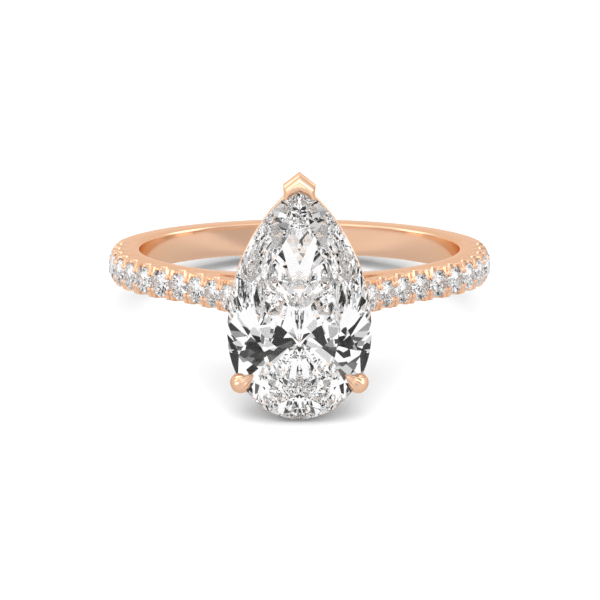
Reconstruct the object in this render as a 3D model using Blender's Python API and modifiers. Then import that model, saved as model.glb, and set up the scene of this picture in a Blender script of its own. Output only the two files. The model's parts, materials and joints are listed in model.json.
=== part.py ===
"""Rose gold engagement ring: a pear diamond on cathedral shoulders set with small round diamonds.

The ring is drawn upright in its own frame, with the finger axis along Z, the finger hole centred on
the origin and the head towards -Y. The pear's point is towards +Z. An empty then lays the whole
ring on its side, at rest on the pear's round end and on the rear of the shank.

Head pieces are drawn lying down: X across, Y towards the pear's point, Z the height above the
finger axis. Turning them by 90 degrees about X stands them on the head.
"""
import math

import bmesh
import bpy
from mathutils import Matrix, Vector

MM = 0.001

# Shank
BAND_HALF_WIDTH = 0.83 * MM
FINGER_RADIUS = 8.30 * MM          # at the middle of the rounded inner wall
EDGE_RADIUS = 8.46 * MM            # where the inner wall meets its edge bevel
SIDE_RADIUS = 8.56 * MM            # where the flat side face starts
PLAIN_RADIUS = 9.86 * MM           # outside of the plain rear half
PAVE_RADIUS = 9.94 * MM            # outside of the metal between the small diamonds
BRIDGE_RADIUS = 9.68 * MM          # outside of the bridge under the head
EDGE_BEVEL = 0.09 * MM
SHANK_STATIONS = 120

# Path of the small diamonds' girdles: a circle, then a shoulder that bends up to the head
GIRDLE_RADIUS = 9.84 * MM
SHOULDER_ANGLE = math.radians(47.0)
SHOULDER_BEND = 30.0 * MM
SHOULDER_LENGTH = 6.30 * MM
SHOULDER_DEPTH = 0.85 * MM
SHOULDER_FOOT_X = 2.90 * MM

# Small round diamonds
MELEE_DIAMETER = 1.36 * MM
MELEE_PITCH = 1.44 * MM
MELEE_FIRST = -8.76 * MM           # path length of the rearmost stone, from the foot of the shoulder
MELEE_PER_SIDE = 11
MELEE_CROWN = 0.19 * MM
MELEE_GIRDLE = 0.04 * MM
MELEE_PAVILION = 0.55 * MM
MELEE_TABLE_RADIUS = 0.37 * MM
SETTING_GAP = 0.012 * MM
SCALLOP_RADIUS = 0.50 * MM
GROOVE_WIDTH = 0.13 * MM
GROOVE_DEPTH = 0.35 * MM

# Pear diamond
PEAR_HALF_WIDTH = 3.77 * MM
PEAR_TIP_Y = 6.30 * MM
PEAR_WIDEST_Y = -1.50 * MM
PEAR_BELLY = 4.61 * MM             # from the widest line down to the round end
PEAR_CULET_Y = -1.77 * MM
PEAR_GIRDLE_HEIGHT = 13.10 * MM
PEAR_GIRDLE = 0.14 * MM
PEAR_CROWN = 1.08 * MM
PEAR_PAVILION = 3.20 * MM
CROWN_ANGLE = math.radians(34.0)
STAR_ANGLE = math.radians(21.0)
LOWER_HALF_REACH = 0.78

# Rails of the head
GALLERY_TOP = PEAR_GIRDLE_HEIGHT - 0.60 * MM
GALLERY_THICKNESS = 0.50 * MM
GALLERY_WIDTH = 0.58 * MM
BASE_TOP = 10.45 * MM
BASE_BOTTOM = 9.30 * MM
BASE_OUTER_INSET = 1.95 * MM
BASE_WIDTH = 0.60 * MM

# Prongs
CLAW_X = 3.08 * MM
CLAW_Y = -4.20 * MM
CLAW_RADIUS = 0.53 * MM
V_TIP_Y = 6.93 * MM
V_HALF_WIDTH = 0.86 * MM
V_TOP = PEAR_GIRDLE_HEIGHT + 0.72 * MM
PRONG_GAP = 0.025 * MM

ROSE_GOLD = ((0.83, 0.53, 0.38, 1.0), 0.16, 1.0)
DIAMOND = ((0.95, 0.96, 0.98, 1.0), 0.02, 0.0)



def clear_scene():
    """Remove every object of the open file."""
    for old in list(bpy.data.objects):
        bpy.data.objects.remove(old, do_unlink=True)


def new_collection(name):
    """Make a collection in the scene."""
    collection = bpy.data.collections.new(name)
    bpy.context.scene.collection.children.link(collection)
    return collection


def finish_material(name, finish):
    """Give each piece its own Principled material: colour, roughness and metallic."""
    colour, roughness, metallic = finish
    material = bpy.data.materials.new(name)
    material.use_nodes = True
    shader = material.node_tree.nodes["Principled BSDF"]
    shader.inputs["Base Color"].default_value = colour
    shader.inputs["Roughness"].default_value = roughness
    shader.inputs["Metallic"].default_value = metallic
    return material


def mesh_from_bmesh(name, bm):
    """Turn a bmesh into mesh data with outward faces, and free the bmesh."""
    bmesh.ops.recalc_face_normals(bm, faces=bm.faces)
    mesh = bpy.data.meshes.new(name)
    bm.to_mesh(mesh)
    bm.free()
    return mesh


def add_part(name, mesh, finish, parent):
    """Link a named sub-part, with its material, under the ring."""
    part = bpy.data.objects.new(name, mesh)
    ring_parts.objects.link(part)
    part.parent = parent
    if not mesh.materials:
        mesh.materials.append(finish_material(name, finish))
    return part


def add_cutter(name, mesh, parent):
    """Link a helper solid that only shapes other parts."""
    cutter = bpy.data.objects.new(name, mesh)
    cutters.objects.link(cutter)
    cutter.parent = parent
    cutter.hide_render = True
    cutter.display_type = "WIRE"
    return cutter


def cut(part, cutter, operation="DIFFERENCE"):
    """Add an exact Boolean modifier."""
    modifier = part.modifiers.new(operation.lower(), "BOOLEAN")
    modifier.operation = operation
    modifier.solver = "EXACT"
    modifier.object = cutter


def shade_round(mesh):
    """Shade a round piece smooth, with its real edges kept sharp."""
    mesh.shade_smooth()
    mesh.set_sharp_from_angle(angle=math.radians(35.0))


def loft(name, sections, closed):
    """Skin a mesh over sections with equal numbers of points; open lofts are capped."""
    bm = bmesh.new()
    rings = [[bm.verts.new(point) for point in section] for section in sections]
    count = len(rings[0])
    pairs = len(rings) if closed else len(rings) - 1
    for index in range(pairs):
        low = rings[index]
        high = rings[(index + 1) % len(rings)]
        for side in range(count):
            after = (side + 1) % count
            bm.faces.new((low[side], low[after], high[after], high[side]))
    if not closed:
        bm.faces.new(rings[0])
        bm.faces.new(rings[-1])
    return mesh_from_bmesh(name, bm)


def flat_solid(name, outlines, half_thickness):
    """Extrude closed outlines in the XY plane to both sides; a second outline is a hole."""
    curve = bpy.data.curves.new(name, "CURVE")
    curve.dimensions = "2D"
    curve.fill_mode = "BOTH"
    curve.extrude = half_thickness
    for outline in outlines:
        spline = curve.splines.new("POLY")
        spline.points.add(len(outline) - 1)
        spline.use_cyclic_u = True
        for point, (x, y) in zip(spline.points, outline):
            point.co = (x, y, 0.0, 1.0)
    return mesh_from_curve(name, curve)


def mesh_from_curve(name, curve):
    """Evaluate a curve to a mesh and weld its loose caps."""
    holder = bpy.data.objects.new(name, curve)
    bpy.context.scene.collection.objects.link(holder)
    evaluated = holder.evaluated_get(bpy.context.evaluated_depsgraph_get())
    mesh = bpy.data.meshes.new_from_object(evaluated)
    bpy.data.objects.remove(holder, do_unlink=True)
    bm = bmesh.new()
    bm.from_mesh(mesh)
    bmesh.ops.remove_doubles(bm, verts=bm.verts, dist=0.001 * MM)
    bpy.data.meshes.remove(mesh)
    return mesh_from_bmesh(name, bm)


def tapered_wire(name, route, sides=2):
    """Sweep a round wire along points (x, y, z, radius), with filled ends."""
    curve = bpy.data.curves.new(name, "CURVE")
    curve.dimensions = "3D"
    curve.bevel_depth = 1.0 * MM
    curve.bevel_resolution = sides
    curve.use_fill_caps = True
    spline = curve.splines.new("POLY")
    spline.points.add(len(route) - 1)
    for point, (x, y, z, radius) in zip(spline.points, route):
        point.co = (x, y, z, 1.0)
        point.radius = radius / MM
    return mesh_from_curve(name, curve)


# ---------------------------------------------------------------- gem cutting

def round_station(radius):
    """Outline of a round stone: point and outward normal at station 0 to 16."""
    def station(t):
        angle = 2.0 * math.pi * t / 16.0
        normal = Vector((math.cos(angle), math.sin(angle), 0.0))
        return normal * radius, normal
    return station


def pear_station(inset=0.0):
    """Outline of the pear, moved inwards by inset: point and outward normal at station 0 to 16.

    Station 0 is the point, 8 the round end. Each flank is an arc, and the belly is half an ellipse.
    """
    flank_radius = ((PEAR_TIP_Y - PEAR_WIDEST_Y) ** 2 + PEAR_HALF_WIDTH ** 2) / (2.0 * PEAR_HALF_WIDTH)
    centre_x = flank_radius - PEAR_HALF_WIDTH
    flank_sweep = math.acos(centre_x / (flank_radius - inset))
    flank_share = 4.5

    def station(t):
        t = t % 16.0
        side = -1.0 if t <= 8.0 else 1.0
        from_tip = t if t <= 8.0 else 16.0 - t
        if from_tip <= flank_share:
            angle = flank_sweep * (1.0 - from_tip / flank_share)
            normal = Vector((side * math.cos(angle), math.sin(angle), 0.0))
            centre = Vector((-side * centre_x, PEAR_WIDEST_Y, 0.0))
            point = centre + normal * (flank_radius - inset)
        else:
            angle = 0.5 * math.pi * (from_tip - flank_share) / (8.0 - flank_share)
            normal = Vector((side * math.cos(angle) / PEAR_HALF_WIDTH, -math.sin(angle) / PEAR_BELLY, 0.0))
            normal.normalize()
            edge = Vector((side * PEAR_HALF_WIDTH * math.cos(angle), -PEAR_BELLY * math.sin(angle), 0.0))
            point = edge + Vector((0.0, PEAR_WIDEST_Y, 0.0)) - normal * inset
        if from_tip < 1e-9:
            normal = Vector((0.0, 1.0, 0.0))
        return point, normal
    return station


def outline_of(station, count):
    """Sample a stone outline as plain (x, y) points."""
    return [tuple(station(16.0 * index / count)[0].xy) for index in range(count)]


def leaning_plane(point, normal, target):
    """Facet plane along the outline at point that also passes through target."""
    tangent = Vector((-normal.y, normal.x, 0.0))
    facet = tangent.cross(target - point).normalized()
    if facet.dot(normal) < 0.0:
        facet.negate()
    return point, facet


def sloped_plane(point, normal, angle):
    """Facet plane through point that slopes up from the outline at an angle."""
    return point, normal * math.sin(angle) + Vector((0.0, 0.0, math.cos(angle)))


def meet(first, second, third):
    """Point where three planes (point, normal) meet."""
    rows = Matrix((first[1], second[1], third[1]))
    return rows.inverted() @ Vector([plane[1].dot(plane[0]) for plane in (first, second, third)])


def crown_planes(station, crown, girdle):
    """Eight bezels, eight stars and sixteen upper halves of a brilliant crown."""
    lift = Vector((0.0, 0.0, girdle / 2.0))
    bezels = []
    corners = []
    for index in range(8):
        point, normal = station(2 * index)
        bezels.append(sloped_plane(point + lift, normal, CROWN_ANGLE))
        reach = (crown - girdle / 2.0) / math.tan(CROWN_ANGLE)
        corners.append(point - normal * reach + Vector((0.0, 0.0, crown)))
    planes = list(bezels)
    for index in range(8):
        following = (index + 1) % 8
        chord = corners[following] - corners[index]
        outward = Vector((chord.y, -chord.x, 0.0)).normalized()
        if outward.dot(station(2 * index + 1)[1]) < 0.0:
            outward.negate()
        star = sloped_plane(corners[index], outward, STAR_ANGLE)
        planes.append(star)
        star_tip = meet(bezels[index], bezels[following], star)
        for half in (0.5, 1.5):
            point, normal = station(2 * index + half)
            planes.append(leaning_plane(point + lift, normal, star_tip))
    return planes


def pavilion_planes(station, culet, girdle):
    """Eight pavilion mains and sixteen lower halves."""
    drop = Vector((0.0, 0.0, -girdle / 2.0))
    mains = []
    for index in range(8):
        point, normal = station(2 * index)
        mains.append(leaning_plane(point + drop, normal, culet))
    planes = list(mains)
    girdle_plane = (drop, Vector((0.0, 0.0, 1.0)))
    for index in range(8):
        edge = meet(mains[index], mains[(index + 1) % 8], girdle_plane)
        half_tip = edge.lerp(culet, LOWER_HALF_REACH)
        for half in (0.5, 1.5):
            point, normal = station(2 * index + half)
            planes.append(leaning_plane(point + drop, normal, half_tip))
    return planes


def cut_stone(name, station, girdle_points, crown, girdle, pavilion, culet_y):
    """Cut a brilliant from a straight-sided blank, one plane for each facet."""
    unit = 1.0 / MM
    bottom = [Vector((x, y, -pavilion)) * unit for x, y in outline_of(station, girdle_points)]
    height = Vector((0.0, 0.0, (crown + pavilion) * unit))
    bm = bmesh.new()
    low = [bm.verts.new(point) for point in bottom]
    high = [bm.verts.new(point + height) for point in bottom]
    bm.faces.new(low)
    bm.faces.new(high)
    for index in range(girdle_points):
        after = (index + 1) % girdle_points
        bm.faces.new((low[index], low[after], high[after], high[index]))
    culet = Vector((0.0, culet_y, -pavilion))
    planes = crown_planes(station, crown, girdle) + pavilion_planes(station, culet, girdle)
    for point, normal in planes:
        geometry = bm.verts[:] + bm.edges[:] + bm.faces[:]
        result = bmesh.ops.bisect_plane(
            bm, geom=geometry, dist=1e-5, plane_co=point * unit, plane_no=normal, clear_outer=True)
        rim = [item for item in result["geom_cut"] if isinstance(item, bmesh.types.BMEdge)]
        open_rim = [edge for edge in rim if len(edge.link_faces) == 1]
        if len(open_rim) > 2:
            bmesh.ops.edgeloop_fill(bm, edges=open_rim)
    bmesh.ops.remove_doubles(bm, verts=bm.verts, dist=2e-4)
    bmesh.ops.scale(bm, vec=(MM, MM, MM), verts=bm.verts)
    return mesh_from_bmesh(name, bm)


# ---------------------------------------------------------------- shank

def path_at(length):
    """Position (x, height) and normal angle of the girdle path; length grows towards the head."""
    if length <= 0.0:
        angle = SHOULDER_ANGLE - length / GIRDLE_RADIUS
        return GIRDLE_RADIUS * math.sin(angle), GIRDLE_RADIUS * math.cos(angle), angle
    slope = SHOULDER_ANGLE + length / SHOULDER_BEND
    x = GIRDLE_RADIUS * math.sin(SHOULDER_ANGLE)
    x -= SHOULDER_BEND * (math.sin(slope) - math.sin(SHOULDER_ANGLE))
    height = GIRDLE_RADIUS * math.cos(SHOULDER_ANGLE)
    height += SHOULDER_BEND * (math.cos(SHOULDER_ANGLE) - math.cos(slope))
    return x, height, slope


def path_matrix(length, side):
    """Frame on the girdle path with Z outwards, mirrored for side -1."""
    x, height, angle = path_at(length)
    place = Matrix.Translation((side * x, -height, 0.0))
    return place @ Matrix.Rotation(side * angle, 4, "Z") @ Matrix.Rotation(math.pi / 2.0, 4, "X")


def blend(value, start, end):
    """Smooth step from 0 at start to 1 at end."""
    share = min(1.0, max(0.0, (value - start) / (end - start)))
    return share * share * (3.0 - 2.0 * share)


def outer_radius(angle):
    """Outside radius of the circular band at an angle from the head."""
    from_head = abs(math.degrees(angle))
    to_pave = blend(from_head, 36.0, 46.0)
    to_plain = blend(from_head, 101.5, 106.0)
    radius = BRIDGE_RADIUS + (PAVE_RADIUS - BRIDGE_RADIUS) * to_pave
    return radius + (PLAIN_RADIUS - PAVE_RADIUS) * to_plain


def shank_section(angle):
    """Closed section of the band: flat sides, bevelled edges and a rounded inner wall."""
    outer = outer_radius(angle)
    width = BAND_HALF_WIDTH
    half = [
        (outer, width - EDGE_BEVEL),
        (outer - EDGE_BEVEL, width),
        (SIDE_RADIUS, width),
        (EDGE_RADIUS, width - 0.7 * EDGE_BEVEL),
        (FINGER_RADIUS + 0.05 * MM, 0.5 * width),
    ]
    profile = half + [(FINGER_RADIUS, 0.0)] + [(radius, -z) for radius, z in reversed(half)]
    return [(radius * math.sin(angle), -radius * math.cos(angle), z) for radius, z in profile]


def shoulder_outline(side):
    """Outline of one cathedral shoulder, seen along the finger axis."""
    top = []
    bottom = []
    steps = 14
    for index in range(steps + 1):
        length = -0.6 * MM + (SHOULDER_LENGTH + 0.6 * MM) * index / steps
        x, height, angle = path_at(length)
        rise = PAVE_RADIUS - GIRDLE_RADIUS - 0.02 * MM * (1.0 - blend(length, -0.6 * MM, 0.5 * MM))
        top.append((x + rise * math.sin(angle), height + rise * math.cos(angle)))
        bottom.append((x - SHOULDER_DEPTH * math.sin(angle), height - SHOULDER_DEPTH * math.cos(angle)))
    rail_bottom = GALLERY_TOP - GALLERY_THICKNESS - 2.0 * PRONG_GAP
    foot = [(top[-1][0], rail_bottom), (SHOULDER_FOOT_X, rail_bottom), (SHOULDER_FOOT_X, bottom[-1][1])]
    outline = top + foot + bottom[::-1]
    return [(side * x, -height) for x, height in outline]


def turned_cutter_mesh(name, profile, steps):
    """Turn a closed-end profile (radius, z), listed from the top down, about Z."""
    bm = bmesh.new()
    verts = [bm.verts.new((radius, 0.0, z)) for radius, z in profile]
    for first, second in zip(verts, verts[1:]):
        bm.edges.new((first, second))
    mesh = bpy.data.meshes.new(name)
    bm.to_mesh(mesh)
    bm.free()
    holder = bpy.data.objects.new(name, mesh)
    bpy.context.scene.collection.objects.link(holder)
    screw = holder.modifiers.new("turn", "SCREW")
    screw.steps = steps
    screw.render_steps = steps
    screw.use_merge_vertices = True
    screw.merge_threshold = 0.001 * MM
    evaluated = holder.evaluated_get(bpy.context.evaluated_depsgraph_get())
    turned = bpy.data.meshes.new_from_object(evaluated)
    bpy.data.objects.remove(holder, do_unlink=True)
    return turned


def seat_mesh():
    """Clearance of one small diamond: its cone, girdle and crown, open to the outside."""
    grow = SETTING_GAP + MELEE_DIAMETER / 2.0 * (1.0 / math.cos(math.pi / 16.0) - 1.0)
    girdle = MELEE_DIAMETER / 2.0 + grow
    profile = [
        (0.0, 0.60 * MM),
        (MELEE_TABLE_RADIUS + 2.0 * grow, 0.60 * MM),
        (MELEE_TABLE_RADIUS + 2.0 * grow, MELEE_CROWN),
        (girdle, MELEE_GIRDLE / 2.0 + SETTING_GAP),
        (girdle, -MELEE_GIRDLE / 2.0 - SETTING_GAP),
        (0.0, -MELEE_PAVILION - 2.0 * grow),
    ]
    return turned_cutter_mesh("seat", profile, 16)


def scallop_mesh():
    """Round cut across the band, which opens each seat to both sides."""
    bm = bmesh.new()
    lie_along_band_width = Matrix.Rotation(math.pi / 2.0, 4, "X")
    bmesh.ops.create_cone(
        bm, cap_ends=True, segments=14, radius1=SCALLOP_RADIUS, radius2=SCALLOP_RADIUS,
        depth=4.0 * BAND_HALF_WIDTH, matrix=lie_along_band_width)
    return mesh_from_bmesh("scallop", bm)


def groove_mesh():
    """Thin V cut across the band, which splits the metal between two stones into prongs."""
    top = PAVE_RADIUS - GIRDLE_RADIUS + 0.10 * MM
    half = GROOVE_WIDTH / 2.0 * (GROOVE_DEPTH + 0.10 * MM) / GROOVE_DEPTH
    bottom = top - 0.10 * MM - GROOVE_DEPTH
    reach = 2.0 * BAND_HALF_WIDTH
    ends = [[(-half, y, top), (0.0, y, bottom), (half, y, top)] for y in (-reach, reach)]
    return loft("groove", ends, closed=False)


def stamped(name, stamps):
    """One mesh of many placed copies (mesh, matrix) that don't touch each other."""
    bm = bmesh.new()
    for mesh, matrix in stamps:
        start = len(bm.verts)
        bm.from_mesh(mesh)
        bm.verts.ensure_lookup_table()
        bmesh.ops.transform(bm, matrix=matrix, verts=bm.verts[start:])
    return mesh_from_bmesh(name, bm)


def melee_lengths():
    """Path lengths of the small diamonds of one side, from the rear to the head."""
    return [MELEE_FIRST + MELEE_PITCH * index for index in range(MELEE_PER_SIDE)]


def make_shank(ring):
    """The cast band: finger ring with its bridge, both shoulders, and the cut seats."""
    angles = [2.0 * math.pi * index / SHANK_STATIONS for index in range(SHANK_STATIONS)]
    sections = [shank_section(angle if angle <= math.pi else angle - 2.0 * math.pi) for angle in angles]
    shank = add_part("shank", loft("shank", sections, closed=True), ROSE_GOLD, ring)
    shade_round(shank.data)
    for side, name in ((-1, "left"), (1, "right")):
        arm = flat_solid("shoulder_" + name, [shoulder_outline(side)], BAND_HALF_WIDTH)
        cut(shank, add_cutter("shoulder_" + name + "_blank", arm, ring), "UNION")
    places = [(length, side) for side in (-1, 1) for length in melee_lengths()]
    seat = seat_mesh()
    seats = stamped("seats", [(seat, path_matrix(length, side)) for length, side in places])
    scallop = scallop_mesh()
    groove = groove_mesh()
    stamps = [(scallop, path_matrix(length, side)) for length, side in places]
    stamps += [(groove, path_matrix(length + MELEE_PITCH / 2.0, side)) for length, side in places]
    cut(shank, add_cutter("seat_cuts", seats, ring))
    cut(shank, add_cutter("side_cuts", stamped("side_cuts", stamps), ring))
    return shank


def make_melee(ring):
    """The small round diamonds of both shoulders, all of one cut."""
    stone = cut_stone(
        "melee", round_station(MELEE_DIAMETER / 2.0), 16, MELEE_CROWN, MELEE_GIRDLE, MELEE_PAVILION, 0.0)
    for side, name in ((-1, "left"), (1, "right")):
        for number, length in enumerate(melee_lengths(), start=1):
            part = add_part(f"melee_diamond_{name}_{number:02d}", stone, DIAMOND, ring)
            part.matrix_local = path_matrix(length, side)


# ---------------------------------------------------------------- head

def stand_on_head(part, height=0.0):
    """Turn a piece drawn lying down so that its Z is the height above the finger axis."""
    part.rotation_euler = (math.pi / 2.0, 0.0, 0.0)
    part.location = (0.0, -height, 0.0)


def pear_mesh(name, grow, girdle_points):
    """The pear brilliant, or its clearance when grown."""
    return cut_stone(
        name, pear_station(-grow), girdle_points, PEAR_CROWN + grow, PEAR_GIRDLE + 2.0 * grow,
        PEAR_PAVILION + 1.5 * grow, PEAR_CULET_Y)


def make_pear(ring):
    """The centre stone."""
    pear = add_part("pear_diamond", pear_mesh("pear_diamond", 0.0, 48), DIAMOND, ring)
    stand_on_head(pear, PEAR_GIRDLE_HEIGHT)


def claw_route(side, grow=0.0):
    """Points of a claw from the base rail, past the girdle and over the crown."""
    foot = Vector((0.56 * CLAW_X, 0.72 * CLAW_Y))
    top = Vector((CLAW_X, CLAW_Y))
    inward = -Vector((CLAW_X, CLAW_Y - PEAR_CULET_Y)).normalized()
    girdle = PEAR_GIRDLE_HEIGHT
    stations = [
        (foot, BASE_BOTTOM + 0.55 * MM, 0.36 * MM),
        (foot.lerp(top, 0.62), girdle - 1.75 * MM, 0.40 * MM),
        (top - inward * 0.08 * MM, girdle - 0.85 * MM, 0.42 * MM),
        (top, girdle, CLAW_RADIUS),
        (top + inward * 0.03 * MM, girdle + 0.30 * MM, CLAW_RADIUS),
        (top + inward * 0.14 * MM, girdle + 0.55 * MM, 0.46 * MM),
        (top + inward * 0.36 * MM, girdle + 0.74 * MM, 0.32 * MM),
        (top + inward * 0.78 * MM, girdle + 0.80 * MM, 0.12 * MM),
    ]
    return [(side * spot.x, spot.y, height, radius + grow) for spot, height, radius in stations]


def chevron(tip_y, height, scale):
    """Section of the V-shaped prong at a height, with its outer corner at tip_y."""
    wide = V_HALF_WIDTH * scale
    points = [
        (0.0, 0.0), (-wide, -0.73 * MM * scale), (-0.96 * wide, -1.30 * MM * scale),
        (-0.66 * wide, -1.30 * MM * scale), (0.0, -0.98 * MM * scale),
        (0.66 * wide, -1.30 * MM * scale), (0.96 * wide, -1.30 * MM * scale), (wide, -0.73 * MM * scale),
    ]
    return [(x, tip_y + y, height) for x, y in points]


def v_prong_sections(grow=0.0):
    """Chevron sections from the base rail up to the cap over the pear's point."""
    stations = [
        (2.85 * MM, BASE_BOTTOM + 0.55 * MM, 0.72),
        (4.70 * MM, PEAR_GIRDLE_HEIGHT - 1.70 * MM, 0.84),
        (V_TIP_Y - 0.18 * MM, PEAR_GIRDLE_HEIGHT - 0.60 * MM, 0.95),
        (V_TIP_Y, PEAR_GIRDLE_HEIGHT - 0.05 * MM, 1.0),
        (V_TIP_Y, V_TOP - 0.22 * MM, 1.0),
        (V_TIP_Y - 0.20 * MM, V_TOP, 0.80),
    ]
    return [chevron(tip_y + grow, height, scale + grow / V_HALF_WIDTH) for tip_y, height, scale in stations]


def rail_mesh(name, inset, width, thickness):
    """A closed pear-shaped rail, flat above and below."""
    outer = outline_of(pear_station(inset), 40)
    inner = outline_of(pear_station(inset + width), 40)
    return flat_solid(name, [outer, inner], thickness / 2.0)


def saddle_mesh():
    """Round bar along the finger axis, the size of the bridge with its clearance."""
    bm = bmesh.new()
    radius = BRIDGE_RADIUS + PRONG_GAP
    bmesh.ops.create_cone(bm, cap_ends=True, segments=120, radius1=radius, radius2=radius, depth=20.0 * MM)
    return mesh_from_bmesh("saddle", bm)


def make_head(ring):
    """Both rails and the three prongs, each cleared of the pieces that it is soldered to."""
    stone = add_cutter("pear_clearance", pear_mesh("pear_clearance", PRONG_GAP, 32), ring)
    stand_on_head(stone, PEAR_GIRDLE_HEIGHT)
    saddle = add_cutter("bridge_clearance", saddle_mesh(), ring)

    gallery_mesh = rail_mesh("gallery_rail", 0.0, GALLERY_WIDTH, GALLERY_THICKNESS)
    gallery = add_part("gallery_rail", gallery_mesh, ROSE_GOLD, ring)
    stand_on_head(gallery, GALLERY_TOP - GALLERY_THICKNESS / 2.0)
    base_mesh = rail_mesh("base_rail", BASE_OUTER_INSET, BASE_WIDTH, BASE_TOP - BASE_BOTTOM)
    base = add_part("base_rail", base_mesh, ROSE_GOLD, ring)
    stand_on_head(base, (BASE_TOP + BASE_BOTTOM) / 2.0)
    cut(base, saddle)

    v_prong = add_part("v_prong", loft("v_prong", v_prong_sections(), closed=False), ROSE_GOLD, ring)
    v_space = add_cutter("v_clearance", loft("v_clearance", v_prong_sections(PRONG_GAP), closed=False), ring)
    prongs = [(v_prong, v_space)]
    for side, name in ((-1, "left"), (1, "right")):
        claw = add_part("claw_prong_" + name, tapered_wire("claw_" + name, claw_route(side)), ROSE_GOLD, ring)
        shade_round(claw.data)
        space_mesh = tapered_wire("claw_clearance_" + name, claw_route(side, PRONG_GAP))
        prongs.append((claw, add_cutter("claw_clearance_" + name, space_mesh, ring)))
    for prong, space in prongs:
        stand_on_head(prong)
        stand_on_head(space)
        cut(prong, stone)
        cut(gallery, space)
        cut(base, space)


# ---------------------------------------------------------------- rest pose

def lay_on_table(ring):
    """Tilt the ring about X until the round end and the rear edge touch, then centre it on z = 0."""
    front_height = PEAR_GIRDLE_HEIGHT
    front_low = PEAR_BELLY - PEAR_WIDEST_Y
    tilt = math.atan2(front_low - BAND_HALF_WIDTH, front_height + PLAIN_RADIUS)
    ring.rotation_euler = (-tilt, 0.0, 0.0)
    bpy.context.view_layer.update()
    graph = bpy.context.evaluated_depsgraph_get()
    corners = []
    for part in ring_parts.objects:
        if part.type == "MESH":
            mesh = part.evaluated_get(graph).to_mesh()
            corners += [part.matrix_world @ vertex.co for vertex in mesh.vertices]
    low = [min(corner[axis] for corner in corners) for axis in range(3)]
    high = [max(corner[axis] for corner in corners) for axis in range(3)]
    ring.location = (-(low[0] + high[0]) / 2.0, -(low[1] + high[1]) / 2.0, -low[2])
    bpy.context.view_layer.update()


def build():
    """Make the whole ring."""
    ring = bpy.data.objects.new("ring_rest_pose", None)
    ring_parts.objects.link(ring)
    make_shank(ring)
    make_melee(ring)
    make_pear(ring)
    make_head(ring)
    lay_on_table(ring)


clear_scene()
ring_parts = new_collection("engagement_ring")
cutters = new_collection("cutters")
build()
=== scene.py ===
"""The looks of the rose gold engagement ring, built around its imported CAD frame."""
import json
import math

import bmesh
import bpy
import numpy as np
from mathutils import Matrix, Vector


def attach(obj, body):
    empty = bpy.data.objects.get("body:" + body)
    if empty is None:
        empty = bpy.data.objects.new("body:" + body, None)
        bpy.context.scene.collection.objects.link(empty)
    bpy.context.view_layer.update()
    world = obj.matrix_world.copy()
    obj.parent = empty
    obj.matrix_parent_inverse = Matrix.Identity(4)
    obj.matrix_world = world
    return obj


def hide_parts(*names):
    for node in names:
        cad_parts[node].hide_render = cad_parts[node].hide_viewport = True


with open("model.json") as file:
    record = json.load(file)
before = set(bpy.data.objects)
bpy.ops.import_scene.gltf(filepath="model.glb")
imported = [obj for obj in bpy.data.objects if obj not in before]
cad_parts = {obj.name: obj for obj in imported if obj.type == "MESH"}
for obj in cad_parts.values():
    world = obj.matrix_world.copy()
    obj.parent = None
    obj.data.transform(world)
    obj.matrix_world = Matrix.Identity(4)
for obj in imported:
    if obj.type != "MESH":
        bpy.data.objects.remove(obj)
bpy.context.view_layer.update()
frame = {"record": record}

MM = 0.001
BODY = "root"
WHITE = (1.0, 1.0, 1.0, 1.0)
BLACK = (0.0, 0.0, 0.0, 1.0)

# Band, in millimetres, in the ring's own frame: finger axis along Z, head towards -Y
HALF_WIDTH = 0.83
SIDE_RADIUS = 8.56
PLAIN_RADIUS = 9.86
BRIDGE_RADIUS = 9.68
PLAIN_EDGE = 0.09
BRIDGE_EDGE = 0.004
BAND_STATIONS = 720

# Comfort-fit inner wall of the band, from the side face to the middle: inset from the side radius,
# and height above the middle plane
INNER_WALL = (
    (0.060, HALF_WIDTH),
    (0.080, HALF_WIDTH - 0.004),
    (0.105, HALF_WIDTH - 0.018),
    (0.125, HALF_WIDTH - 0.040),
    (0.136, HALF_WIDTH - 0.065),
    (0.141, HALF_WIDTH - 0.095),
    (0.144, HALF_WIDTH - 0.150),
    (0.150, 0.40),
    (0.153, 0.0),
)

# Path of the small stones' girdles, and the strip of metal that holds them
GIRDLE_RADIUS = 9.84
SHOULDER_ANGLE = math.radians(47.0)
SHOULDER_BEND = 30.0
STRIP_DEPTH = 0.85
STRIP_START = -9.95
STRIP_END = 6.30
STRIP_COLUMNS = 960
STRIP_ROWS = 60
STRIP_EDGE = 0.06
STRIP_EDGE_ROWS = (0.0, 0.003, 0.010, 0.021, 0.036, 0.054, 0.076, 0.100)
STRIP_INNER_ROW = 0.122
METAL_TOP = 0.06
MELEE_FIRST = -8.76
MELEE_PITCH = 1.44
MELEE_PER_SIDE = 11
SEAT_RADIUS = 0.705
SEAT_TOP = -0.03
SEAT_DEPTH = 0.55
SCALLOP_RADIUS = 0.41
SCALLOP_TOP = 0.02
CUT_STEEPNESS = 9.0
CUT_ROUNDING = 0.012
BAR_CROWN = 0.26
BAR_DROP = 0.09
GROOVE_HALF = 0.085
GROOVE_DEPTH = 0.34
BEAD_RADIUS = 0.115
BEAD_ALONG = 0.155
BEAD_ACROSS = 0.40
BEAD_BASE = 0.045
BEAD_STEEPNESS = 6.0
# no cut or bead reaches further than this from the girdle path
HEIGHT_LIMIT = 2.0

# Facets that both cuts of stone share
BEZEL_ANGLE = math.radians(34.0)
STAR_ANGLE = math.radians(21.0)

# Small round stones
MELEE_RADIUS = 0.69
MELEE_CROWN = 0.19
MELEE_GIRDLE = 0.04
MELEE_PAVILION = 0.55
MELEE_HALF_REACH = 0.78
MELEE_TURN = 0.7

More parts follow.
